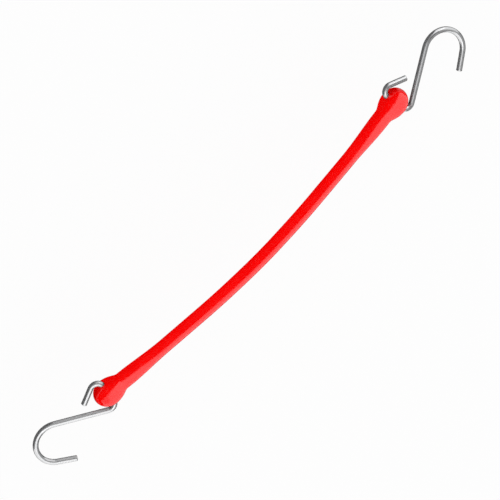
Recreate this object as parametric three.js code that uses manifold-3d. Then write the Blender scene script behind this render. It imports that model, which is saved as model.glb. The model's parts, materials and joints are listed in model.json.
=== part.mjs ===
// A moulded elastic tie-down strap with a bulb head at each end and a wire S-hook through each head.
// Millimetres, +Z up, lying on a floor at Z = 0, strap along X, tails of the hooks towards -Y.
import * as THREE from 'three';
import { mergeVertices } from 'three/addons/utils/BufferGeometryUtils.js';
import Module from 'manifold-3d';

const wasm = await Module();
wasm.setup();

// Driving dimensions of the strap
const STRAP_LENGTH = 332.2; // moulded strap, tip to tip along its middle line
const SHANK_SIZE = 9.8; // the rounded square shank, across its flats
const SHANK_POWER = 3.0; // superellipse power of the shank's section, 2 is round
const HEAD_WIDTH = 19.2; // bulb head along its cross hole
const HEAD_HEIGHT = 21.0; // bulb head across its cross hole
const HEAD_POWER = 2.5; // superellipse power of the head's section
const HEAD_TIP = 11.4; // from the cross hole to the tip of the head
const HEAD_BACK = 15.5; // from the cross hole to the foot of the bulb, where the neck takes over
const NECK_SIZE = 12.8; // neck at the foot of the bulb, across its flats
const NECK_LENGTH = 55.0; // from the cross hole to where the neck has thinned to the shank
const NECK_BLEND = 5.0; // power of the fillet between bulb and neck, higher is tighter
const HEAD_SPLIT = 20.0; // from the cross hole to the face where head and elastic shank meet
const SPLIT_GAP = 0.3; // between those two faces

// How the strap lies
const BOW_ANGLE = THREE.MathUtils.degToRad(7.9); // each end turns this far from the chord
const BOW_ARC = 62.0; // half the length of the bowed stretch in the middle
const SAG_RUN = 120.0; // length over which the shank comes down from a head to the floor
const FLOOR_GAP = 0.4; // left under the shank where it lies along the floor

// Driving dimensions of the wire hooks
const WIRE_DIAMETER = 4.5;
const HOLE_CLEARANCE = 0.3; // round the wire in the cross hole
const MOUTH_DEPTH = 2.2; // from the head's side to where the cross hole starts to open into its bell mouth
const TAIL_ANGLE = THREE.MathUtils.degToRad(36.0); // lean of the short tail over the head's tip
const TAIL_BEND_INSIDE = 3.1; // inside radius of the bend at the tail
const TAIL_CLEARANCE = 0.85; // least gap between the tail and the head
const TAIL_LENGTH = 14.3; // straight part of the tail
const FOOT_ANGLE = THREE.MathUtils.degToRad(24.2); // lean of the long leg across the strap's line
const FOOT_BEND_INSIDE = 2.95; // inside radius of the bend at the foot of the long leg
const FOOT_CLEARANCE = 1.5; // least gap between the long leg and the head
const LEG_LENGTH = 43.5; // straight part of the long leg
const LOOP_INSIDE = 14.2; // inside radius of the hook's loop
const LOOP_SWEEP = THREE.MathUtils.degToRad(175);
const TIP_LENGTH = 15.2; // straight end past the loop

// Facets
const STRAP_SIDES = 28;
const WIRE_SIDES = 12;
const HOLE_SIDES = 24;
const MOUTH_STEPS = 5;
const BEND_STEPS = 7;
const LOOP_STEPS = 25; // odd, so that one facet lies across the crown
const HEAD_STEPS = 22;
const SHANK_STEPS = 44;
const DOME_SHARE = 0.45; // share of a head's rings on the dome outside the cross hole
const FIRST_DOME_ANGLE = 0.02; // the first ring past the tip point, in radians round the dome
const SLOPE_STEP = 0.01; // between the two points that give the middle line's direction
const WELD = 1e-4; // points closer than this are one

const WIRE_RADIUS = WIRE_DIAMETER / 2;
const HOLE_RADIUS = WIRE_RADIUS + HOLE_CLEARANCE;
const HOLE_HEIGHT = HEAD_HEIGHT / 2;
const MOUTH_START = HEAD_WIDTH / 2 - MOUTH_DEPTH; // from the middle of the cross hole
const SAG = HOLE_HEIGHT - SHANK_SIZE / 2 - FLOOR_GAP;
const UP = new THREE.Vector3(0, 0, 1);

const strapMaterial = new THREE.MeshStandardMaterial({ color: 0xe01010, roughness: 0.4, metalness: 0 });
const wireMaterial = new THREE.MeshStandardMaterial({ color: 0xc4c7ca, roughness: 0.25, metalness: 1 });

function smoothstep(t) {
  const k = THREE.MathUtils.clamp(t, 0, 1);
  return k * k * (3 - 2 * k);
}

// Middle line of the strap, by the distance from its middle: straight ends, a bowed middle, and a sag.
function strapPoint(distance) {
  const bowRadius = BOW_ARC / BOW_ANGLE;
  const side = Math.sign(distance);
  const along = Math.abs(distance);
  const turn = Math.min(along, BOW_ARC) / bowRadius;
  const straight = Math.max(along - BOW_ARC, 0);
  const x = bowRadius * Math.sin(turn) + straight * Math.cos(BOW_ANGLE);
  const y = -bowRadius * (1 - Math.cos(turn)) - straight * Math.sin(BOW_ANGLE);
  const sagStart = STRAP_LENGTH / 2 - HEAD_TIP - HEAD_SPLIT;
  const z = HOLE_HEIGHT - SAG * smoothstep((sagStart - along) / SAG_RUN);
  return new THREE.Vector3(side * x, y, z);
}

// Half sizes and power of the strap's section, by the distance from the cross hole towards the shank.
function strapSection(fromHole) {
  const shank = SHANK_SIZE / 2;
  const thinning = smoothstep((fromHole - HEAD_BACK) / (NECK_LENGTH - HEAD_BACK));
  const neck = THREE.MathUtils.lerp(NECK_SIZE / 2, shank, thinning);
  const reach = fromHole < 0 ? HEAD_TIP : HEAD_BACK;
  const bulb = Math.sqrt(Math.max(1 - (fromHole / reach) ** 2, 0));
  const neckShare = fromHole < 0 ? 0 : smoothstep(fromHole / HEAD_BACK);
  const join = (size) => ((size * bulb) ** NECK_BLEND + (neck * neckShare) ** NECK_BLEND) ** (1 / NECK_BLEND);
  const round = THREE.MathUtils.lerp(HEAD_POWER, SHANK_POWER, smoothstep(fromHole / NECK_LENGTH));
  return { halfWidth: join(HEAD_WIDTH / 2), halfHeight: join(HEAD_HEIGHT / 2), power: round };
}

// One ring of points round the strap, on a superellipse square to the middle line.
function strapRing(distance) {
  const centre = strapPoint(distance);
  const tangent = strapPoint(distance + SLOPE_STEP).sub(strapPoint(distance - SLOPE_STEP)).normalize();
  const upward = UP.clone().addScaledVector(tangent, -tangent.dot(UP)).normalize();
  const across = upward.clone().cross(tangent);
  const holeAt = STRAP_LENGTH / 2 - HEAD_TIP;
  const { halfWidth, halfHeight, power } = strapSection(holeAt - Math.abs(distance));
  const ring = [];
  for (let i = 0; i < STRAP_SIDES; i += 1) {
    const angle = (i / STRAP_SIDES) * 2 * Math.PI;
    const c = Math.cos(angle);
    const s = Math.sin(angle);
    const width = halfWidth * Math.sign(c) * Math.abs(c) ** (2 / power);
    const height = halfHeight * Math.sign(s) * Math.abs(s) ** (2 / power);
    ring.push(centre.clone().addScaledVector(across, width).addScaledVector(upward, height));
  }
  return ring;
}

// Closed skin over rings of equal count, with the first and last ring drawn together to a middle point.
function skin(rings) {
  const count = rings[0].length;
  const middle = (ring) => ring.reduce((sum, p) => sum.add(p), new THREE.Vector3()).divideScalar(count);
  const points = [...rings.flat(), middle(rings[0]), middle(rings.at(-1))];
  const index = [];
  for (let r = 0; r + 1 < rings.length; r += 1) {
    for (let i = 0; i < count; i += 1) {
      const a = r * count + i;
      const b = r * count + ((i + 1) % count);
      index.push(a, b, a + count, b, b + count, a + count);
    }
  }
  const first = points.length - 2;
  const last = points.length - 1;
  const lastRing = (rings.length - 1) * count;
  for (let i = 0; i < count; i += 1) {
    const next = (i + 1) % count;
    index.push(first, next, i);
    index.push(last, lastRing + i, lastRing + next);
  }
  const geometry = new THREE.BufferGeometry();
  geometry.setAttribute('position', new THREE.Float32BufferAttribute(points.flatMap((p) => p.toArray()), 3));
  geometry.setIndex(index);
  return geometry;
}

function toSolid(geometry) {
  const bare = geometry.clone();
  bare.deleteAttribute('normal');
  bare.deleteAttribute('uv');
  const merged = mergeVertices(bare, WELD);
  return new wasm.Manifold(new wasm.Mesh({
    numProp: 3,
    vertProperties: new Float32Array(merged.attributes.position.array),
    triVerts: new Uint32Array(merged.index.array),
  }));
}

function toGeometry(solid) {
  const mesh = solid.getMesh();
  const geometry = new THREE.BufferGeometry();
  geometry.setAttribute('position', new THREE.BufferAttribute(mesh.vertProperties, 3));
  geometry.setIndex(new THREE.BufferAttribute(mesh.triVerts, 1));
  return geometry;
}

// Where a head sits: its cross hole's middle, the way out along the strap, and the way along the hole.
function headFrame(side) {
  const hole = strapPoint(side * (STRAP_LENGTH / 2 - HEAD_TIP));
  const outward = new THREE.Vector3(side * Math.cos(BOW_ANGLE), -Math.sin(BOW_ANGLE), 0);
  const along = new THREE.Vector3(side * Math.sin(BOW_ANGLE), Math.cos(BOW_ANGLE), 0);
  return { hole, outward, along };
}

// Cross hole along Y: a plain bore that opens at each end in a quarter round, clear of the tighter of the bends.
function crossHole() {
  const mouthRadius = Math.min(TAIL_BEND_INSIDE, FOOT_BEND_INSIDE) - HOLE_CLEARANCE;
  const half = [];
  for (let i = 0; i <= MOUTH_STEPS; i += 1) {
    const turn = ((i / MOUTH_STEPS) * Math.PI) / 2;
    const wide = HOLE_RADIUS + mouthRadius * (1 - Math.cos(turn));
    half.push(new THREE.Vector2(wide, MOUTH_START + mouthRadius * Math.sin(turn)));
  }
  const widest = half.at(-1).x;
  const reach = HEAD_WIDTH; // well past the head's side
  half.push(new THREE.Vector2(widest, reach), new THREE.Vector2(0, reach));
  const mirrored = half.map((p) => new THREE.Vector2(p.x, -p.y)).reverse();
  return new THREE.LatheGeometry([...mirrored, ...half], HOLE_SIDES);
}

// Bulb head: rings crowded towards the rounded tip, then the cross hole is cut.
function head(side) {
  const tip = STRAP_LENGTH / 2;
  const rings = [];
  for (let i = 0; i <= HEAD_STEPS; i += 1) {
    const t = i / HEAD_STEPS;
    const fromHole = t < DOME_SHARE
      ? -HEAD_TIP * Math.cos(THREE.MathUtils.lerp(FIRST_DOME_ANGLE, Math.PI / 2, t / DOME_SHARE))
      : HEAD_SPLIT * ((t - DOME_SHARE) / (1 - DOME_SHARE));
    rings.push(strapRing(side * (tip - HEAD_TIP - fromHole)));
  }
  if (side > 0) rings.reverse();
  const { hole, along } = headFrame(side);
  const bore = crossHole();
  bore.applyQuaternion(new THREE.Quaternion().setFromUnitVectors(new THREE.Vector3(0, 1, 0), along));
  bore.translate(hole.x, hole.y, hole.z);
  return toGeometry(toSolid(skin(rings)).subtract(toSolid(bore)));
}

// Elastic shank between the two heads.
function shank() {
  const end = STRAP_LENGTH / 2 - HEAD_TIP - HEAD_SPLIT - SPLIT_GAP;
  const rings = [];
  for (let i = 0; i <= SHANK_STEPS; i += 1) {
    rings.push(strapRing(THREE.MathUtils.lerp(-end, end, i / SHANK_STEPS)));
  }
  return skin(rings);
}

// Arc from a start point, turning a flat heading by an angle at a radius, negative to the right.
function arc(start, heading, angle, radius, steps) {
  const points = [];
  const turnSide = Math.sign(angle);
  const normal = new THREE.Vector2(-Math.sin(heading), Math.cos(heading)).multiplyScalar(turnSide);
  const centre = start.clone().addScaledVector(normal, radius);
  const spoke = start.clone().sub(centre);
  for (let i = 0; i <= steps; i += 1) {
    points.push(spoke.clone().rotateAround(new THREE.Vector2(), (angle * i) / steps).add(centre));
  }
  return points;
}

function ahead(start, heading, length) {
  return start.clone().add(new THREE.Vector2(Math.cos(heading), Math.sin(heading)).multiplyScalar(length));
}

// Middle line of the bent wire in its own plane: x along the cross hole, y out along the strap.
function hookLine() {
  const tailBend = TAIL_BEND_INSIDE + WIRE_RADIUS;
  const footBend = FOOT_BEND_INSIDE + WIRE_RADIUS;
  const loopRadius = LOOP_INSIDE + WIRE_RADIUS;
  const tailTurn = Math.PI / 2 + TAIL_ANGLE;
  const footTurn = Math.PI / 2 + FOOT_ANGLE;
  const tailCut = tailBend * Math.tan(tailTurn / 2);
  const footCut = footBend * Math.tan(footTurn / 2);
  const reach = Math.max(HEAD_TIP, HEAD_WIDTH / 2) + WIRE_RADIUS;
  const tailCorner = Math.max(MOUTH_START + tailCut, (reach + TAIL_CLEARANCE) / Math.cos(TAIL_ANGLE));
  const footCorner = Math.max(MOUTH_START + footCut, (reach + FOOT_CLEARANCE) / Math.cos(FOOT_ANGLE));
  const tailStart = new THREE.Vector2(-(tailCorner - tailCut), 0);
  const footStart = new THREE.Vector2(footCorner - footCut, 0);
  const tail = arc(tailStart, Math.PI, -tailTurn, tailBend, BEND_STEPS);
  tail.push(ahead(tail.at(-1), Math.PI / 2 - TAIL_ANGLE, TAIL_LENGTH));
  const foot = arc(footStart, 0, footTurn, footBend, BEND_STEPS);
  const legHeading = Math.PI / 2 + FOOT_ANGLE;
  const loop = arc(ahead(foot.at(-1), legHeading, LEG_LENGTH), legHeading, -LOOP_SWEEP, loopRadius, LOOP_STEPS);
  const tip = ahead(loop.at(-1), legHeading - LOOP_SWEEP, TIP_LENGTH);
  return [...tail.reverse(), ...foot, ...loop, tip];
}

// Wire swept along a flat line, with mitred rings and one flat of the wire facing each way in the plane.
function wireSkin(line, place) {
  const rings = line.map((point, i) => {
    const before = line[Math.max(i - 1, 0)];
    const after = line[Math.min(i + 1, line.length - 1)];
    const inward = point.clone().sub(before).normalize();
    const onward = after.clone().sub(point).normalize();
    const heading = inward.clone().add(onward).normalize();
    const mitre = 1 / heading.dot(onward.lengthSq() ? onward : inward);
    const normal = new THREE.Vector2(-heading.y, heading.x);
    const ring = [];
    for (let k = 0; k < WIRE_SIDES; k += 1) {
      const angle = ((k + 0.5) / WIRE_SIDES) * 2 * Math.PI;
      const flat = point.clone().addScaledVector(normal, WIRE_RADIUS * mitre * Math.cos(angle));
      ring.push(place(flat.x, flat.y, WIRE_RADIUS * Math.sin(angle)));
    }
    return ring;
  });
  return skin(rings);
}

// Hook through a head, let down about the cross hole until its loop lies on the floor.
function hook(side) {
  const line = hookLine();
  const { hole, outward, along } = headFrame(side);
  const furthest = Math.max(...line.map((p) => p.y));
  const drop = Math.asin((HOLE_HEIGHT - WIRE_RADIUS) / furthest);
  const out = outward.clone().multiplyScalar(Math.cos(drop)).addScaledVector(UP, -Math.sin(drop));
  const normal = along.clone().cross(out);
  const place = (h, e, n) => hole.clone().addScaledVector(along, h).addScaledVector(out, e).addScaledVector(normal, n);
  return wireSkin(line, place);
}

const strap = new THREE.Group();
function add(name, geometry, material) {
  geometry.computeVertexNormals();
  const mesh = new THREE.Mesh(geometry, material);
  mesh.name = name;
  strap.add(mesh);
}

add('left_head', head(-1), strapMaterial);
add('elastic_shank', shank(), strapMaterial);
add('right_head', head(1), strapMaterial);
add('left_hook', hook(-1), wireMaterial);
add('right_hook', hook(1), wireMaterial);

// The origin is under the middle of the whole part, on the floor.
const box = new THREE.Box3().setFromObject(strap);
const middle = box.getCenter(new THREE.Vector3());
strap.position.set(-middle.x, -middle.y, -box.min.z);

export default strap;
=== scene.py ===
"""Looks of a moulded elastic tie-down strap with a bent wire hook through the bulb head at each end.

Metres, +Z up, the strap lying along X on a clear sheet at Z = 0 over a light table. Every surface is
worked out with numpy from the strap's and the wire's sizes, and is set in place by the pivots of the
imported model's hook joints.
"""
import json

import bpy
import numpy as np
from mathutils import Matrix


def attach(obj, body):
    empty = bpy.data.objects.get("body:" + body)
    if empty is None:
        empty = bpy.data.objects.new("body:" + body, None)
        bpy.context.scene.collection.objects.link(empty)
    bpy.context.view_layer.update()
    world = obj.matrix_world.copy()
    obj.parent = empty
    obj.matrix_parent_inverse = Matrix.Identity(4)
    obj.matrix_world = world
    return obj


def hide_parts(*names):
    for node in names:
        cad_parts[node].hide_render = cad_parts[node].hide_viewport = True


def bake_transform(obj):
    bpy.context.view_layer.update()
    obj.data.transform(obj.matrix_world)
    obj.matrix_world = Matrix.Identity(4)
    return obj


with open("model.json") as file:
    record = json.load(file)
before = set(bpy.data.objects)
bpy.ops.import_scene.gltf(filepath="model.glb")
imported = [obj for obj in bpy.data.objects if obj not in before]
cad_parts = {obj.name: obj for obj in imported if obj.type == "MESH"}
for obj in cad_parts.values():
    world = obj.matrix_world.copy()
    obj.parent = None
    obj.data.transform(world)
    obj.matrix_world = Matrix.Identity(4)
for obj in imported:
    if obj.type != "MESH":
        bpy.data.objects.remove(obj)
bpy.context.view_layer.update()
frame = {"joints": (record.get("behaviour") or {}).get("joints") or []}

MM = 0.001
UP = np.array([0, 0, 1])

# Sizes of the strap
STRAP_LENGTH = 332.2 * MM  # tip to tip along its middle line
SHANK_SIZE = 9.8 * MM  # across the flats of the solid's section
SHANK_POWER = 3.0  # superellipse power of the solid's section, 2 is round
HEAD_WIDTH = 19.2 * MM  # of the solid, along the cross hole
HEAD_HEIGHT = 21.0 * MM  # of the solid, across the cross hole
HEAD_POWER = 2.5
SEEN_HEAD_POWER = 4.6  # squarer than the solid, within the outline that the camera sees
SEEN_SHANK_POWER = 2.1  # rounder than the solid
HEAD_TIP = 11.4 * MM  # from the cross hole to the tip
HEAD_BACK = 15.5 * MM  # from the cross hole to the foot of the bulb
NECK_SIZE = 12.8 * MM  # of the solid, at the foot of the bulb
NECK_LENGTH = 55.0 * MM  # from the cross hole to where the shank's own size begins
NECK_BLEND = 5.0  # power of the fillet between bulb and neck
HEAD_SPLIT = 20.0 * MM  # from the cross hole to where head and shank meet
FLASH_HEIGHT = 0.05 * MM  # moulding line along both sides of the strap
FLASH_WIDTH = 0.16 * MM
MOUTH_DEPTH = 2.2 * MM  # from the solid head's side to where the cross hole starts to open like a bell

# How the strap lies
BOW_ANGLE = np.radians(7.9)  # of each end, in plan
BOW_ARC = 62.0 * MM  # from the middle to where an end runs straight
SAG_RUN = 120.0 * MM  # over which the strap comes down from a head
SHANK_GAP = 0.4 * MM  # under the solid's shank

# Sizes of the wire hooks
WIRE_RADIUS = 2.25 * MM
HOLE_CLEARANCE = 0.3 * MM  # round the wire in the cross hole
TAIL_ANGLE = np.radians(36.0)
TAIL_BEND = 5.35 * MM  # radius of the wire's middle line in the bend at the tail
TAIL_CLEARANCE = 0.85 * MM
TAIL_LENGTH = 14.3 * MM
FOOT_ANGLE = np.radians(24.2)
FOOT_BEND = 5.2 * MM
FOOT_CLEARANCE = 1.5 * MM
LEG_LENGTH = 43.5 * MM
LOOP_RADIUS = 16.45 * MM
LOOP_SWEEP = np.radians(175)
TIP_LENGTH = 15.2 * MM
END_CHAMFER = 0.25 * MM  # edge of the cut ends of the wire
END_SETBACKS = np.array([0, 0, 0, 1])  # of the rings at a cut end from that end, in chamfers
END_INSETS = np.array([7, 3.5, 1, 0])  # of the same rings from the wire's surface, in chamfers
END_CUTS = np.array([1, 1, 1, 0])  # which of them lie on the raw cut
HOLE_SHADE_RUN = 3.6 * MM  # over which the painted shade on the wire in the cross hole fades out
BEND_SQUEEZE = 0.035  # share by which the wire is flattened at its tightest bend
BEND_SOFTENING = 3  # rings on either side over which a bend's marks set in

# How finely the surfaces are divided
STRAP_SIDES = 120
SHANK_RINGS = 340
DOME_RINGS = 44
DOME_START = 0.01  # angle of the dome's first ring from its tip
BACK_RINGS = 64
HOLE_SIDES = 96
MOUTH_RINGS = 24
WIRE_SIDES = 40
LINE_STEP = 0.8 * MM
ARC_STEP = np.radians(3.0)
SIDE_CROWDING = 0.8  # 0 spreads a ring's points evenly, towards 1 crowds them at the moulding line
CURVE_STEP = 0.01 * MM  # for slopes of the middle line
LEAST_SIZE = 0.01 * MM  # of a section, which keeps the tip's sums finite
SHARP_ANGLE = np.radians(50)

HOLE_RADIUS = WIRE_RADIUS + HOLE_CLEARANCE
HOLE_HEIGHT = HEAD_HEIGHT / 2
MOUTH_START = HEAD_WIDTH / 2 - MOUTH_DEPTH
MOUTH_RADIUS = min(TAIL_BEND, FOOT_BEND) - WIRE_RADIUS - HOLE_CLEARANCE
HOLE_AT = STRAP_LENGTH / 2 - HEAD_TIP
SPLIT_AT = HOLE_AT - HEAD_SPLIT
SAG = HOLE_HEIGHT - SHANK_SIZE / 2 - SHANK_GAP
SIDES = {"left": -1, "right": 1}

# The photograph's view: nearly overhead, from the side of the hooks' short tails, with the picture turned
PICTURE = 500  # pixels along a side
PIXEL = 0.7556 * MM  # size of a pixel at the strap
CAMERA_TILT = np.radians(32.48)  # from straight overhead
CAMERA_TURN = np.radians(0.26)  # about the upright
CAMERA_ROLL = np.radians(-134.38)  # about the line of sight
CAMERA_DISTANCE = 4.53
ORIGIN_PIXEL = (250.15, 246.58)  # where the middle of the part lies in the picture
SENSOR = 36.0  # millimetres

# Studio light
TENT_RADIANCE = 1.15  # soft light from all round, which the gloss doesn't mirror
FLOOR_GLOW = 0.87  # the floor is a light table, so next to no shadow lies on it
FLOOR_ALBEDO = 0.1
FLOOR_ROUGHNESS = 0.9
FLOOR_HALF = 12.0  # half a side of the floor and of the clear sheet
FLOOR_DEPTH = 60.0 * MM  # below the clear sheet, which leaves the hooks in sight when they swing down
PANEL_DISTANCE = 3.0

# Panels that only the gloss mirrors: azimuth, elevation, width and height in degrees, and radiance
STRAP_PANELS = {
    "strap_panel": (110, 31, 160, 74, 1.2),
    "strap_panel_edge": (110, 37, 160, 86, 1.2),
    "strap_low_panel": (165, -30, 70, 56, 0.45),
}
WIRE_PANELS = {
    "high_key_panel": (25, 58, 66, 42, 0.98),
    "low_key_panel": (37, 5, 80, 64, 0.85),
    "zenith_panel": (0, 82, 36, 34, 0.6),
    "side_panel": (180, 12, 50, 84, 0.72),
    "low_side_panel": (-142, 10, 34, 90, 0.38),
    "back_panel": (122, 34, 56, 60, 0.22),
    "front_panel": (-80, 52, 70, 30, 0.22),
}
LEFT_WIRE_PANELS = {"left_side_panel": (-145, 18, 36, 60, 0.55)}

# Finish of the strap
DEEP_RED = (0.84, 0.0003, 0.0002, 1)
BRIGHT_RED = (0.89, 0.0006, 0.0004, 1)
RUBBED_RED = (0.9, 0.12, 0.1, 1)
RUB_PALING = 0.10  # how far a rub mark takes the red to the rubbed red
RUB_DULLING = 0.12  # what a rub mark adds to the roughness
STRAP_ROUGHNESS = (0.09, 0.12)
STRAP_SPECULAR = 0.4
STRAP_BUMP = 0.04 * MM

# Finish of the wire
DULL_ZINC = (0.83, 0.84, 0.85, 1)
BRIGHT_ZINC = (0.88, 0.88, 0.89, 1)
WORN_ZINC = (0.45, 0.45, 0.46, 1)
# painted shade on the wire where it goes into the cross hole
HOLE_SHADE = (0.10, 0.09, 0.09, 1)
RAW_STEEL = (0.36, 0.35, 0.34, 1)
WEAR = 0.5  # how far a tool mark in a bend takes the zinc to the worn zinc
WIRE_ROUGHNESS = (0.18, 0.23)
BEND_DULLING = 0.06  # what a bend adds to the roughness
CUT_DULLING = 0.25  # what a cut end adds to the roughness
WIRE_METALLIC = 0.89
WIRE_BUMP = 0.01 * MM
WIRE_GRAIN = 0.3  # height of the grain against that of the drawn lines

# Sockets of a colour Mix node
MIX_SHARE = 0
MIX_FIRST = 6
MIX_SECOND = 7
MIX_RESULT = 2


def smoothstep(t):
    """3k2 - 2k3 of t held between 0 and 1."""
    k = np.clip(t, 0, 1)
    return k * k * (3 - 2 * k)


def unit(vectors):
    """Each vector divided by its length."""
    return vectors / np.linalg.norm(vectors, axis=-1, keepdims=True)


def view_axes():
    """Right, up and backward of the camera.

    From straight overhead it is tilted about X, turned about Z, and rolled about the line of sight.
    """
    across = np.array([np.cos(CAMERA_TURN), np.sin(CAMERA_TURN), 0])
    away = np.array([-np.sin(CAMERA_TURN), np.cos(CAMERA_TURN), 0])
    far = np.cos(CAMERA_TILT) * away + np.sin(CAMERA_TILT) * UP
    right = np.cos(CAMERA_ROLL) * across - np.sin(CAMERA_ROLL) * far
    up = np.sin(CAMERA_ROLL) * across + np.cos(CAMERA_ROLL) * far
    return right, up, np.cross(right, up)


def make_camera():
    """Long lens from far off, aimed so that the middle of the part falls on its own pixel."""
    right, up, back = view_axes()
    aside = (PICTURE / 2 - ORIGIN_PIXEL[0]) * PIXEL
    below = (PICTURE / 2 - ORIGIN_PIXEL[1]) * PIXEL
    place = aside * right - below * up + CAMERA_DISTANCE * back
    data = bpy.data.cameras.new("camera")
    data.sensor_width = SENSOR
    data.lens = SENSOR * CAMERA_DISTANCE / (PICTURE * PIXEL)
    camera = bpy.data.objects.new("camera", data)
    turn = Matrix(np.column_stack([right, up, back]).tolist()).to_4x4()
    camera.matrix_world = Matrix.Translation(place.tolist()) @ turn
    bpy.context.scene.collection.objects.link(camera)
    bpy.context.scene.camera = camera


def strap_line(distance):
    """Middle line of the strap before it is set in place, by the distance from its middle.

    An arc of radius arc / angle turns the middle stretch, then straight runs go out at the bow angle. Over
    the sag run the height comes down from the cross hole's to the lying shank's by a smoothstep.
    """
    bow_radius = BOW_ARC / BOW_ANGLE
    along = np.abs(distance)
    turn = np.minimum(along, BOW_ARC) / bow_radius
    straight = np.maximum(along - BOW_ARC, 0)
    x = np.sign(distance) * (bow_radius * np.sin(turn) + straight * np.cos(BOW_ANGLE))
    y = -bow_radius * (1 - np.cos(turn)) - straight * np.sin(BOW_ANGLE)
    z = HOLE_HEIGHT - SAG * smoothstep((SPLIT_AT - along) / SAG_RUN)
    return np.stack([x, y, z], axis=-1)


def joint_pivot(name):
    """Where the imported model's joint of that name turns."""
    return np.array(next(j["pos_m"] for j in frame["joints"] if j["name"] == name))


PLACE = joint_pivot("right_hook_swing") - strap_line(np.array(HOLE_AT))


def seen_reach(half_width, half_height, power):
    """How far a superellipse of power p reaches across the strap in the picture.

    With q = p / (p - 1), it is the q-th root of the sum of the q-th powers of its two sizes as seen there.
    """
    dual = power / (power - 1)
    level = np.maximum(half_width * np.cos(CAMERA_TILT), LEAST_SIZE) ** dual
    upright = np.maximum(half_height * np.sin(CAMERA_TILT), LEAST_SIZE) ** dual
    return (level + upright) ** (1 / dual)


def strap_section(from_hole):
    """Half width, half height and superellipse power, by the distance from the cross hole to the shank.

    The bulb is half an ellipse each way along the strap, the neck thins by a smoothstep, and the two are
    joined as the root of the sum of their powers, which rounds the corner between them. The section then
    takes the power seen, and is scaled to reach as far across the picture as with the solid's power.
    """
    thinning = smoothstep((from_hole - HEAD_BACK) / (NECK_LENGTH - HEAD_BACK))
    neck = (NECK_SIZE + (SHANK_SIZE - NECK_SIZE) * thinning) / 2
    reach = np.where(from_hole < 0, HEAD_TIP, HEAD_BACK)
    bulb = np.sqrt(np.maximum(1 - (from_hole / reach) ** 2, 0))
    neck_part = (neck * smoothstep(from_hole / HEAD_BACK)) ** NECK_BLEND
    half_width = ((HEAD_WIDTH / 2 * bulb) ** NECK_BLEND + neck_part) ** (1 / NECK_BLEND)
    half_height = ((HEAD_HEIGHT / 2 * bulb) ** NECK_BLEND + neck_part) ** (1 / NECK_BLEND)
    share = smoothstep(from_hole / NECK_LENGTH)
    solid_power = HEAD_POWER + (SHANK_POWER - HEAD_POWER) * share
    power = SEEN_HEAD_POWER + (SEEN_SHANK_POWER - SEEN_HEAD_POWER) * share
    solid_reach = seen_reach(half_width, half_height, solid_power)
    trim = solid_reach / seen_reach(half_width, half_height, power)
    return half_width * trim, half_height * trim, power


def ring_angles():
    """Angles round the strap, u - k/2 sin 2u, crowded at the two sides where the moulding line runs."""
    u = np.linspace(0, 2 * np.pi, STRAP_SIDES, endpoint=False)
    return u - SIDE_CROWDING / 2 * np.sin(2 * u)


def strap_surface(distance):
    """Rings of points round the strap's middle line, one ring for each distance.

    A ring is a superellipse in polar form, r = (|cos|^p / w^p + |sin|^p / h^p)^(-1/p), square to the
    middle line, with a bell-shaped moulding line raised on both sides.
    """
    centre = strap_line(distance) + PLACE
    tangent = unit(strap_line(distance + CURVE_STEP) - strap_line(distance - CURVE_STEP))
    upward = unit(UP - tangent * tangent[:, 2:])
    across = np.cross(upward, tangent)
    width, height, power = (v[:, None] for v in strap_section(HOLE_AT - np.abs(distance)))
    angle = ring_angles()[None, :]
    c = np.cos(angle)
    s = np.sin(angle)
    radius = ((np.abs(c) / width) ** power + (np.abs(s) / height) ** power) ** (-1 / power)
    flash = FLASH_HEIGHT * np.exp(-((radius * s / FLASH_WIDTH) ** 2))
    radius = radius + flash * (width > FLASH_WIDTH)
    sideways = (radius * c)[..., None] * across[:, None, :]
    return centre[:, None, :] + sideways + (radius * s)[..., None] * upward[:, None, :]


def ring_quads(rings, count):
    """Quads between neighbouring rings of equal count, closed round each ring."""
    r, i = np.meshgrid(np.arange(rings - 1), np.arange(count), indexing="ij")
    a = r * count + i
    b = r * count + (i + 1) % count
    return np.stack([a, b, b + count, a + count], axis=-1).reshape(-1, 4)


def skin(name, surface):
    """Closed mesh over rings of points, with both ends drawn to the middle of their ring."""
    rings, count, _ = surface.shape
    ends = np.stack([surface[0].mean(axis=0), surface[-1].mean(axis=0)])
    points = np.concatenate([surface.reshape(-1, 3), ends])
    i = np.arange(count)
    following = (i + 1) % count
    first_pole = np.full(count, rings * count)
    last = (rings - 1) * count
    first_fan = np.stack([first_pole, following, i], axis=-1)
    last_fan = np.stack([first_pole + 1, last + i, last + following], axis=-1)
    faces = ring_quads(rings, count).tolist() + first_fan.tolist() + last_fan.tolist()
    mesh = bpy.data.meshes.new(name)
    mesh.from_pydata(points.tolist(), [], faces)
    mesh.shade_smooth()
    mesh.set_sharp_from_angle(angle=SHARP_ANGLE)
    piece = bpy.data.objects.new(name, mesh)
    bpy.context.scene.collection.objects.link(piece)
    return piece


def paint_points(piece, name, kind, values):
    """Attribute of one value, or one vector, for each point of a piece."""
    attribute = piece.data.attributes.new(name, kind, "POINT")
    field = "vector" if kind == "FLOAT_VECTOR" else "value"
    attribute.data.foreach_set(field, np.asarray(values, np.float32).ravel())


def make_shank(material):
    """Elastic middle of the strap, which stretches between its two ends."""
    distance = np.linspace(-SPLIT_AT, SPLIT_AT, SHANK_RINGS)
    piece = skin("strap_shank", strap_surface(distance))
    piece.data.materials.append(material)
    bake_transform(piece)
    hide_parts("elastic_shank")
    return piece


def head_frame(side):
    """Middle of a head's cross hole, the way out along the strap, and the way along the hole."""
    hole = strap_line(np.array(side * HOLE_AT)) + PLACE
    outward = np.array([side * np.cos(BOW_ANGLE), -np.sin(BOW_ANGLE), 0])
    along = np.array([side * np.sin(BOW_ANGLE), np.cos(BOW_ANGLE), 0])
    return hole, outward, along


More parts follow.
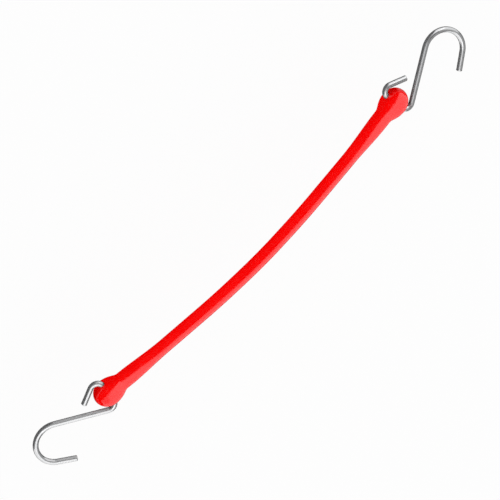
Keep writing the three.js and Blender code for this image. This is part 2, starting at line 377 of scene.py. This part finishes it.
def hole_cutter(side):
    """Turned shape of the cross hole: a plain bore that swells by a quarter circle at each mouth."""
    hole, outward, along = head_frame(side)
    swell = np.linspace(0, np.pi / 2, MOUTH_RINGS)
    wide = HOLE_RADIUS + MOUTH_RADIUS * (1 - np.cos(swell))
    reach = np.concatenate([MOUTH_START + MOUTH_RADIUS * np.sin(swell), [HEAD_WIDTH]])
    radius = np.concatenate([wide, wide[-1:]])
    reach = np.concatenate([-reach[::-1], reach])
    radius = np.concatenate([radius[::-1], radius])
    angle = np.linspace(0, 2 * np.pi, HOLE_SIDES, endpoint=False)
    spoke = np.cos(angle)[:, None] * UP + np.sin(angle)[:, None] * np.cross(along, UP)
    middle = hole + reach[:, None] * along
    surface = middle[:, None, :] + radius[:, None, None] * spoke[None, ::-1, :]
    return skin("hole_cutter", surface)


def cut_away(piece, cutter):
    """Takes the cutter's shape out of the piece, keeps the result as its mesh, and removes the cutter."""
    cut = piece.modifiers.new("cross_hole", "BOOLEAN")
    cut.operation = "DIFFERENCE"
    cut.solver = "EXACT"
    cut.object = cutter
    graph = bpy.context.evaluated_depsgraph_get()
    mesh = bpy.data.meshes.new_from_object(piece.evaluated_get(graph))
    piece.modifiers.clear()
    piece.data = mesh
    bpy.data.objects.remove(cutter)
    mesh.shade_smooth()
    mesh.set_sharp_from_angle(angle=SHARP_ANGLE)


def make_head(name, side, material):
    """Bulb head from its domed tip to the shank, with the cross hole for the wire."""
    dome = -HEAD_TIP * np.cos(np.linspace(DOME_START, np.pi / 2, DOME_RINGS, endpoint=False))
    from_hole = np.concatenate([dome, np.linspace(0, HEAD_SPLIT, BACK_RINGS)])
    distance = side * (HOLE_AT - from_hole)
    distance = distance[::-1] if side > 0 else distance
    piece = skin(name + "_strap_head", strap_surface(distance))
    cut_away(piece, hole_cutter(side))
    piece.data.materials.clear()
    piece.data.materials.append(material)
    piece.visible_glossy = False
    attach(piece, name + "_end")
    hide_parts(name + "_head")
    return piece


def wire_arc(start, heading, angle, radius):
    """Points, headings and bends of an arc from start that turns by the angle, left if positive."""
    steps = int(np.ceil(abs(angle) / ARC_STEP))
    headings = heading + angle * np.arange(1, steps + 1) / steps
    turn = np.sign(angle) * radius
    centre = start + turn * np.array([-np.sin(heading), np.cos(heading)])
    spokes = np.stack([np.sin(headings), -np.cos(headings)], axis=-1)
    bend = np.full(steps, 1 / radius)
    return centre + turn * spokes, headings, bend


def wire_run(start, heading, length):
    """Points, headings and bends of a straight run from start."""
    steps = int(np.ceil(length / LINE_STEP))
    far = length * np.arange(1, steps + 1) / steps
    points = start + far[:, None] * np.array([np.cos(heading), np.sin(heading)])
    return points, np.full(steps, heading), np.zeros(steps)


def join_pieces(start, heading, pieces):
    """Line from a start point through runs (length,) and arcs (angle, radius), one after another."""
    made = [(start[None, :], np.array([heading]), np.zeros(1))]
    for piece in pieces:
        here = made[-1][0][-1]
        now = made[-1][1][-1]
        made.append(wire_run(here, now, *piece) if len(piece) == 1 else wire_arc(here, now, *piece))
    return [np.concatenate(parts) for parts in zip(*made)]


def wire_line():
    """Middle line of the bent wire in its own plane, with its headings and how sharply it bends.

    x runs along the cross hole and y out along the strap. From the middle of the hole one half goes
    through the bend at the tail to the tail's end, the other through the bend at the foot, the long leg
    and the loop to the tip.
    """
    reach = max(HEAD_TIP, HEAD_WIDTH / 2) + WIRE_RADIUS
    tail_turn = np.pi / 2 + TAIL_ANGLE
    foot_turn = np.pi / 2 + FOOT_ANGLE
    tail_cut = TAIL_BEND * np.tan(tail_turn / 2)
    foot_cut = FOOT_BEND * np.tan(foot_turn / 2)
    tail_run = max(MOUTH_START, (reach + TAIL_CLEARANCE) / np.cos(TAIL_ANGLE) - tail_cut)
    foot_run = max(MOUTH_START, (reach + FOOT_CLEARANCE) / np.cos(FOOT_ANGLE) - foot_cut)
    middle = np.zeros(2)
    tail = join_pieces(middle, np.pi, [(tail_run,), (-tail_turn, TAIL_BEND), (TAIL_LENGTH,)])
    foot = join_pieces(middle, 0.0, [
        (foot_run,), (foot_turn, FOOT_BEND), (LEG_LENGTH,), (-LOOP_SWEEP, LOOP_RADIUS), (TIP_LENGTH,)])
    points = np.concatenate([tail[0][:0:-1], foot[0]])
    headings = np.concatenate([tail[1][:0:-1] + np.pi, foot[1]])
    bend = np.concatenate([tail[2][:0:-1], foot[2]])
    return points, headings, bend


def softened(values, count):
    """Running mean over 2 * count + 1 neighbours, with the end values carried on."""
    padded = np.pad(values, count, mode="edge")
    return np.convolve(padded, np.full(2 * count + 1, 1 / (2 * count + 1)), mode="valid")


def wire_rings():
    """What each ring round the wire needs, from the tail's end to the tip's end, as named rows.

    place is the distance along the wire, x and y are its middle line, heading its direction and radius its
    size. cut and bend say how far the ring is on a raw cut and in the tightest bend, and the painted shade
    row says how far it is in the hole.
    """
    points, headings, bend = wire_line()
    along = np.concatenate([[0], np.cumsum(np.linalg.norm(np.diff(points, axis=0), axis=1))])
    between = len(along) - 2
    setback = END_CHAMFER * END_SETBACKS
    end_radius = WIRE_RADIUS - END_CHAMFER * END_INSETS
    place = np.concatenate([setback, along[1:-1], along[-1] - setback[::-1]])
    sharpness = softened(bend, BEND_SOFTENING) * min(TAIL_BEND, FOOT_BEND)
    middle = along[np.argmin(np.linalg.norm(points, axis=1))]
    return {
        "place": place,
        "x": np.interp(place, along, points[:, 0]),
        "y": np.interp(place, along, points[:, 1]),
        "heading": np.interp(place, along, np.unwrap(headings)),
        "radius": np.concatenate([end_radius, np.full(between, WIRE_RADIUS), end_radius[::-1]]),
        "cut": np.concatenate([END_CUTS, np.zeros(between), END_CUTS[::-1]]),
        "bend": np.interp(place, along, sharpness),
        # painted shade: the wire is darker near and in the cross hole, where the hole's own shadow falls
        "painted_shade": 1 - smoothstep((np.abs(place - middle) - MOUTH_START) / HOLE_SHADE_RUN),
    }


def paint_wire(piece, rings, in_plane, off_plane):
    """Attributes for the wire's finish: its place as if straightened, its cuts, its bends, and the shade
    painted where it goes into the hole.
    """
    place = rings["place"]
    straight = np.stack([in_plane, off_plane, np.broadcast_to(place[:, None], in_plane.shape)], axis=-1)
    poles = [[0, 0, place[0]], [0, 0, place[-1]]]
    paint_points(piece, "straight_place", "FLOAT_VECTOR", np.concatenate([straight.reshape(-1, 3), poles]))
    # the last mark carries the painted shade at the cross hole
    marks = {"cut_face": ("cut", 1), "bend_mark": ("bend", 0), "painted_hole_shade": ("painted_shade", 0)}
    for name, (row, at_pole) in marks.items():
        values = np.repeat(rings[row], WIRE_SIDES)
        paint_points(piece, name, "FLOAT", np.append(values, [at_pole, at_pole]))


def make_hook(name, side, material):
    """Wire carried along its bent line, let down about the cross hole until its loop lies at Z = 0.

    A ring is an ellipse square to the line, thinner in the plane of the bend by the squeeze. The cut ends
    have a small chamfer and a flat face.
    """
    rings = wire_rings()
    hole, outward, across = head_frame(side)
    drop = np.arcsin((HOLE_HEIGHT - WIRE_RADIUS) / rings["y"].max())
    out = np.cos(drop) * outward - np.sin(drop) * UP
    normal = np.cross(across, out)
    centre = hole + rings["x"][:, None] * across + rings["y"][:, None] * out
    heading = rings["heading"][:, None]
    inward = -np.sin(heading) * across + np.cos(heading) * out
    squeeze = BEND_SQUEEZE * rings["bend"]
    angle = np.linspace(0, 2 * np.pi, WIRE_SIDES, endpoint=False)
    in_plane = (rings["radius"] * (1 - squeeze))[:, None] * np.cos(angle)
    off_plane = (rings["radius"] * (1 + squeeze / 2))[:, None] * np.sin(angle)
    sideways = in_plane[..., None] * inward[:, None, :]
    piece = skin(name + "_wire_hook", centre[:, None, :] + sideways + off_plane[..., None] * normal)
    paint_wire(piece, rings, in_plane, off_plane)
    piece.data.materials.append(material)
    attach(piece, name + "_hook")
    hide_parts(name + "_hook")
    return piece


def feed(tree, socket, value):
    """Links a socket from another one, or gives it a plain value."""
    if isinstance(value, bpy.types.NodeSocket):
        tree.links.new(value, socket)
    else:
        socket.default_value = value


def add_node(tree, kind, settings=None, **inputs):
    """Node with settings, and inputs by name with _ for a space, each a value or a socket."""
    node = tree.nodes.new(kind)
    for key, value in (settings or {}).items():
        setattr(node, key, value)
    for key, value in inputs.items():
        feed(tree, node.inputs[key.replace("_", " ")], value)
    return node


def ramp(tree, value, low, high, low_to=0.0, high_to=1.0):
    """Value carried from the span low to high onto another span, and held there."""
    node = add_node(
        tree, "ShaderNodeMapRange", Value=value, From_Min=low, From_Max=high, To_Min=low_to, To_Max=high_to)
    return node.outputs["Result"]


def mix_colour(tree, share, first, second):
    """Mix of two colours, each a value or a socket."""
    node = add_node(tree, "ShaderNodeMix", {"data_type": "RGBA"})
    feed(tree, node.inputs[MIX_SHARE], share)
    feed(tree, node.inputs[MIX_FIRST], first)
    feed(tree, node.inputs[MIX_SECOND], second)
    return node.outputs[MIX_RESULT]


def maths(tree, operation, first, second):
    """One operation on two numbers, each a value or a socket."""
    node = add_node(tree, "ShaderNodeMath", {"operation": operation})
    feed(tree, node.inputs[0], first)
    feed(tree, node.inputs[1], second)
    return node.outputs[0]


def new_group(name, inputs, outputs):
    """Empty shader node group with its named sockets, and its input and output nodes."""
    tree = bpy.data.node_groups.new(name, "ShaderNodeTree")
    for socket, kind in inputs:
        tree.interface.new_socket(name=socket, in_out="INPUT", socket_type=kind)
    for socket, kind in outputs:
        tree.interface.new_socket(name=socket, in_out="OUTPUT", socket_type=kind)
    return tree, tree.nodes.new("NodeGroupInput"), tree.nodes.new("NodeGroupOutput")


def make_grain_group():
    """Fine grain: a broad noise for tone, and a fine one for height."""
    tree, entry, leave = new_group(
        "surface_grain",
        [("Place", "NodeSocketVector"), ("Broad", "NodeSocketFloat"), ("Fine", "NodeSocketFloat")],
        [("Tone", "NodeSocketFloat"), ("Height", "NodeSocketFloat")])
    place = entry.outputs["Place"]
    broad = add_node(
        tree, "ShaderNodeTexNoise", Vector=place, Scale=entry.outputs["Broad"], Detail=3.0, Roughness=0.55)
    fine = add_node(
        tree, "ShaderNodeTexNoise", Vector=place, Scale=entry.outputs["Fine"], Detail=2.0, Roughness=0.6)
    tree.links.new(broad.outputs[0], leave.inputs["Tone"])
    tree.links.new(fine.outputs[0], leave.inputs["Height"])
    return tree


def make_rub_group():
    """Rub marks: short scratches where a stretched noise peaks, thinned out by a broad noise."""
    tree, entry, leave = new_group(
        "rub_marks",
        [("Place", "NodeSocketVector"), ("Stretch", "NodeSocketVector"), ("Fine", "NodeSocketFloat")],
        [("Mask", "NodeSocketFloat")])
    place = entry.outputs["Place"]
    drawn = add_node(tree, "ShaderNodeMapping", Vector=place, Scale=entry.outputs["Stretch"]).outputs[0]
    lines = add_node(
        tree, "ShaderNodeTexNoise", Vector=drawn, Scale=entry.outputs["Fine"], Detail=2.0, Roughness=0.5)
    patches = add_node(tree, "ShaderNodeTexNoise", Vector=place, Scale=90.0, Detail=2.0)
    sharp = ramp(tree, lines.outputs[0], low=0.62, high=0.72)
    where = ramp(tree, patches.outputs[0], low=0.5, high=0.66)
    tree.links.new(maths(tree, "MULTIPLY", sharp, where), leave.inputs["Mask"])
    return tree


def new_material(name):
    """Material with a plain Principled shader, its tree and that shader."""
    material = bpy.data.materials.new(name)
    material.use_nodes = True
    tree = material.node_tree
    shader = tree.nodes["Principled BSDF"]
    return material, tree, shader


def make_strap_material(grain_group, rub_group):
    """Moulded red polyurethane: deep clean red, satin gloss, a fine mould texture and faint rub marks."""
    material, tree, shader = new_material("moulded_red_polyurethane")
    place = tree.nodes.new("ShaderNodeTexCoord").outputs["Object"]
    grain = add_node(
        tree, "ShaderNodeGroup", {"node_tree": grain_group}, Place=place, Broad=70.0, Fine=2600.0)
    rubs = add_node(
        tree, "ShaderNodeGroup", {"node_tree": rub_group}, Place=place, Stretch=(0.12, 1.0, 1.0),
        Fine=2200.0)
    tone = ramp(tree, grain.outputs["Tone"], low=0.3, high=0.7)
    red = mix_colour(tree, tone, DEEP_RED, BRIGHT_RED)
    paling = maths(tree, "MULTIPLY", rubs.outputs["Mask"], RUB_PALING)
    tree.links.new(mix_colour(tree, paling, red, RUBBED_RED), shader.inputs["Base Color"])
    gloss = ramp(tree, grain.outputs["Tone"], 0.25, 0.75, *STRAP_ROUGHNESS)
    dulling = maths(tree, "MULTIPLY", rubs.outputs["Mask"], RUB_DULLING)
    tree.links.new(maths(tree, "ADD", gloss, dulling), shader.inputs["Roughness"])
    height = grain.outputs["Height"]
    bump = add_node(tree, "ShaderNodeBump", Strength=0.12, Distance=STRAP_BUMP, Height=height)
    tree.links.new(bump.outputs[0], shader.inputs["Normal"])
    shader.inputs["Specular IOR Level"].default_value = STRAP_SPECULAR
    return material


def read_attribute(tree, name, output):
    """Socket that reads a piece's attribute of that name."""
    return add_node(tree, "ShaderNodeAttribute", {"attribute_name": name}).outputs[output]


def make_wire_material(grain_group, rub_group):
    """Bright zinc-plated drawn wire: drawn lines, tool marks in the bends, raw ends, and painted shade in
    the hole.
    """
    material, tree, shader = new_material("zinc_plated_wire")
    place = read_attribute(tree, "straight_place", "Vector")
    cut = read_attribute(tree, "cut_face", "Fac")
    bends = read_attribute(tree, "bend_mark", "Fac")
    # mask of the painted shade on the wire at the cross hole
    painted_shade = read_attribute(tree, "painted_hole_shade", "Fac")
    drawn = add_node(tree, "ShaderNodeMapping", Vector=place, Scale=(1.0, 1.0, 0.03)).outputs[0]
    lines = add_node(tree, "ShaderNodeTexNoise", Vector=drawn, Scale=3200.0, Detail=3.0, Roughness=0.6)
    grain = add_node(
        tree, "ShaderNodeGroup", {"node_tree": grain_group}, Place=place, Broad=260.0, Fine=5200.0)
    rubs = add_node(
        tree, "ShaderNodeGroup", {"node_tree": rub_group}, Place=place, Stretch=(1.0, 1.0, 0.2),
        Fine=2600.0)
    tone = ramp(tree, grain.outputs["Tone"], low=0.3, high=0.7)
    plating = mix_colour(tree, tone, DULL_ZINC, BRIGHT_ZINC)
    worn = maths(tree, "MULTIPLY", maths(tree, "MULTIPLY", bends, rubs.outputs["Mask"]), WEAR)
    rubbed = mix_colour(tree, worn, plating, WORN_ZINC)
    # painted shade: the wire's colour darkens towards the cross hole
    hole_shaded = mix_colour(tree, painted_shade, rubbed, HOLE_SHADE)
    tree.links.new(mix_colour(tree, cut, hole_shaded, RAW_STEEL), shader.inputs["Base Color"])
    drawn_gloss = ramp(tree, lines.outputs[0], 0.3, 0.7, *WIRE_ROUGHNESS)
    bend_gloss = maths(tree, "MULTIPLY", bends, BEND_DULLING)
    cut_gloss = maths(tree, "MULTIPLY", cut, CUT_DULLING)
    gloss = maths(tree, "ADD", maths(tree, "ADD", drawn_gloss, bend_gloss), cut_gloss)
    tree.links.new(gloss, shader.inputs["Roughness"])
    grain_height = maths(tree, "MULTIPLY", grain.outputs["Height"], WIRE_GRAIN)
    height = maths(tree, "ADD", lines.outputs[0], grain_height)
    bump = add_node(tree, "ShaderNodeBump", Strength=0.05, Distance=WIRE_BUMP, Height=height)
    tree.links.new(bump.outputs[0], shader.inputs["Normal"])
    shader.inputs["Metallic"].default_value = WIRE_METALLIC
    return material


def make_ground(name, height, material):
    """Wide level square at a height, which the gloss doesn't mirror and which casts no shadow."""
    near, far = -FLOOR_HALF, FLOOR_HALF
    corners = [(near, near, height), (far, near, height), (far, far, height), (near, far, height)]
    mesh = bpy.data.meshes.new(name)
    mesh.from_pydata(corners, [], [(0, 1, 2, 3)])
    mesh.materials.append(material)
    ground = bpy.data.objects.new(name, mesh)
    bpy.context.scene.collection.objects.link(ground)
    ground.visible_glossy = False
    ground.visible_shadow = False


def make_floor():
    """Plain pale light table, and over it the clear sheet that the strap lies on."""
    pale, _, shader = new_material("pale_floor")
    shader.inputs["Base Color"].default_value = (FLOOR_ALBEDO, FLOOR_ALBEDO, FLOOR_ALBEDO, 1)
    shader.inputs["Emission Color"].default_value = (1, 1, 1, 1)
    shader.inputs["Emission Strength"].default_value = FLOOR_GLOW
    shader.inputs["Roughness"].default_value = FLOOR_ROUGHNESS
    shader.inputs["Specular IOR Level"].default_value = 0.0
    make_ground("floor", -FLOOR_DEPTH, pale)
    clear, tree, _ = new_material("clear_sheet")
    see_through = tree.nodes.new("ShaderNodeBsdfTransparent")
    tree.links.new(see_through.outputs[0], tree.nodes["Material Output"].inputs["Surface"])
    make_ground("clear_sheet", 0.0, clear)


def make_softbox(name, pieces, azimuth, elevation, width, height, radiance):
    """Far panel, placed and sized in degrees, that only the gloss of some pieces mirrors."""
    a, e, w, h = np.radians([azimuth, elevation, width, height])
    back = np.array([np.cos(e) * np.cos(a), np.cos(e) * np.sin(a), np.sin(e)])
    level = np.array([-np.sin(a), np.cos(a), 0])
    turn = Matrix(np.column_stack([level, np.cross(back, level), back]).tolist()).to_4x4()
    data = bpy.data.lights.new(name, "AREA")
    data.shape = "RECTANGLE"
    data.size = 2 * PANEL_DISTANCE * np.tan(w / 2)
    data.size_y = 2 * PANEL_DISTANCE * np.tan(h / 2)
    data.energy = radiance * np.pi * data.size * data.size_y
    light = bpy.data.objects.new(name, data)
    light.matrix_world = Matrix.Translation((PANEL_DISTANCE * back).tolist()) @ turn
    light.visible_diffuse = False
    light.visible_camera = False
    light.light_linking.receiver_collection = pieces
    bpy.context.scene.collection.objects.link(light)


def make_world():
    """White tent all round, for soft light alone."""
    world = bpy.data.worlds.new("studio")
    bpy.context.scene.world = world
    world.use_nodes = True
    tent = world.node_tree.nodes["Background"]
    tent.inputs["Color"].default_value = (1, 1, 1, 1)
    tent.inputs["Strength"].default_value = TENT_RADIANCE
    world.cycles_visibility.glossy = False


def make_studio(strap, wires, left_wire):
    """White tent and light table, with panels that the strap mirrors and panels that the wires mirror."""
    bpy.context.scene.view_settings.view_transform = "Standard"
    make_world()
    make_floor()
    for pieces, panels in ((strap, STRAP_PANELS), (wires, WIRE_PANELS), (left_wire, LEFT_WIRE_PANELS)):
        for name, panel in panels.items():
            make_softbox(name, pieces, *panel)


def gather(name, pieces):
    """Collection of pieces, to say which of them a light falls on."""
    collection = bpy.data.collections.new(name)
    for piece in pieces:
        collection.objects.link(piece)
    return collection


def make_part():
    """Strap and hooks, dressed, as collections of the strap, of both wires and of the left wire."""
    grain_group = make_grain_group()
    rub_group = make_rub_group()
    red = make_strap_material(grain_group, rub_group)
    zinc = make_wire_material(grain_group, rub_group)
    heads = [make_head(name, side, red) for name, side in SIDES.items()]
    hooks = [make_hook(name, side, zinc) for name, side in SIDES.items()]
    strap = gather("strap", [make_shank(red)] + heads)
    return strap, gather("wires", hooks), gather("left_wire", hooks[:1])


make_camera()
make_studio(*make_part())
